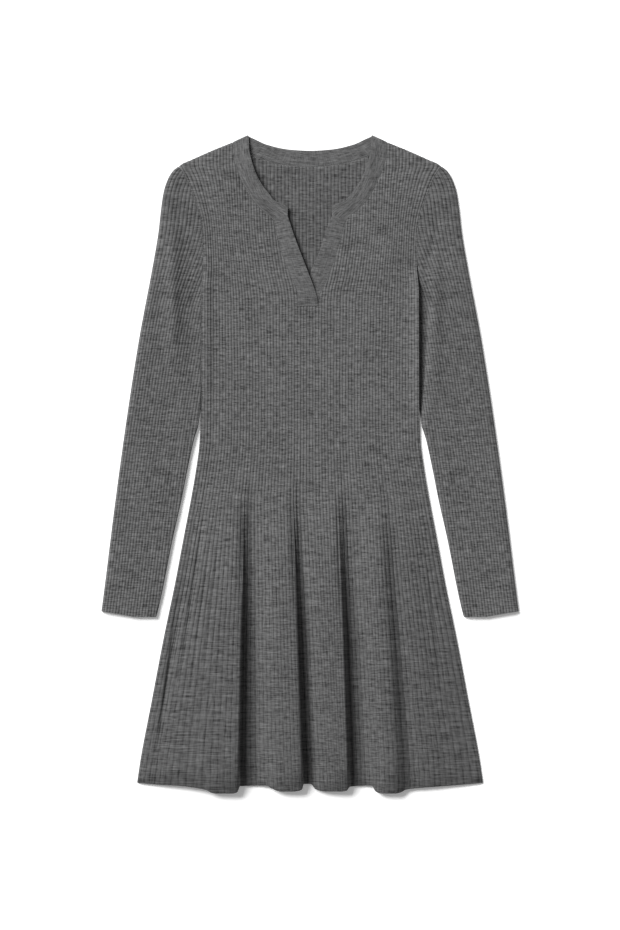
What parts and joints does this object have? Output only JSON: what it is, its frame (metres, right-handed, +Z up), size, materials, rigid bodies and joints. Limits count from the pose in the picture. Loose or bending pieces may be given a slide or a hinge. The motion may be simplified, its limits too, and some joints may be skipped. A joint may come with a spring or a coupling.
{
  "type": "sweater dress",
  "caption": "Grey rib-knit sweater dress with long sleeves, a notched neckline and a flared, softly folded skirt, laid flat on its back.",
  "frame": {"origin": "centre of the dress's outline, on the surface it lies on", "axes": "+X across the dress towards its right side as seen from above, +Y from the hem to the neck, +Z up off the surface"},
  "size_m": [0.5616, 0.8902, 0.0173],
  "materials": {
    "rib_knit": "matte",
    "band_knit": "matte"
  },
  "bodies": {
    "root": {"front": "rib_knit", "back": "rib_knit", "sleeve_left": "rib_knit", "sleeve_right": "rib_knit", "neckband": "band_knit", "placket_left": "band_knit", "placket_right": "band_knit"}
  },
  "joints": []
}
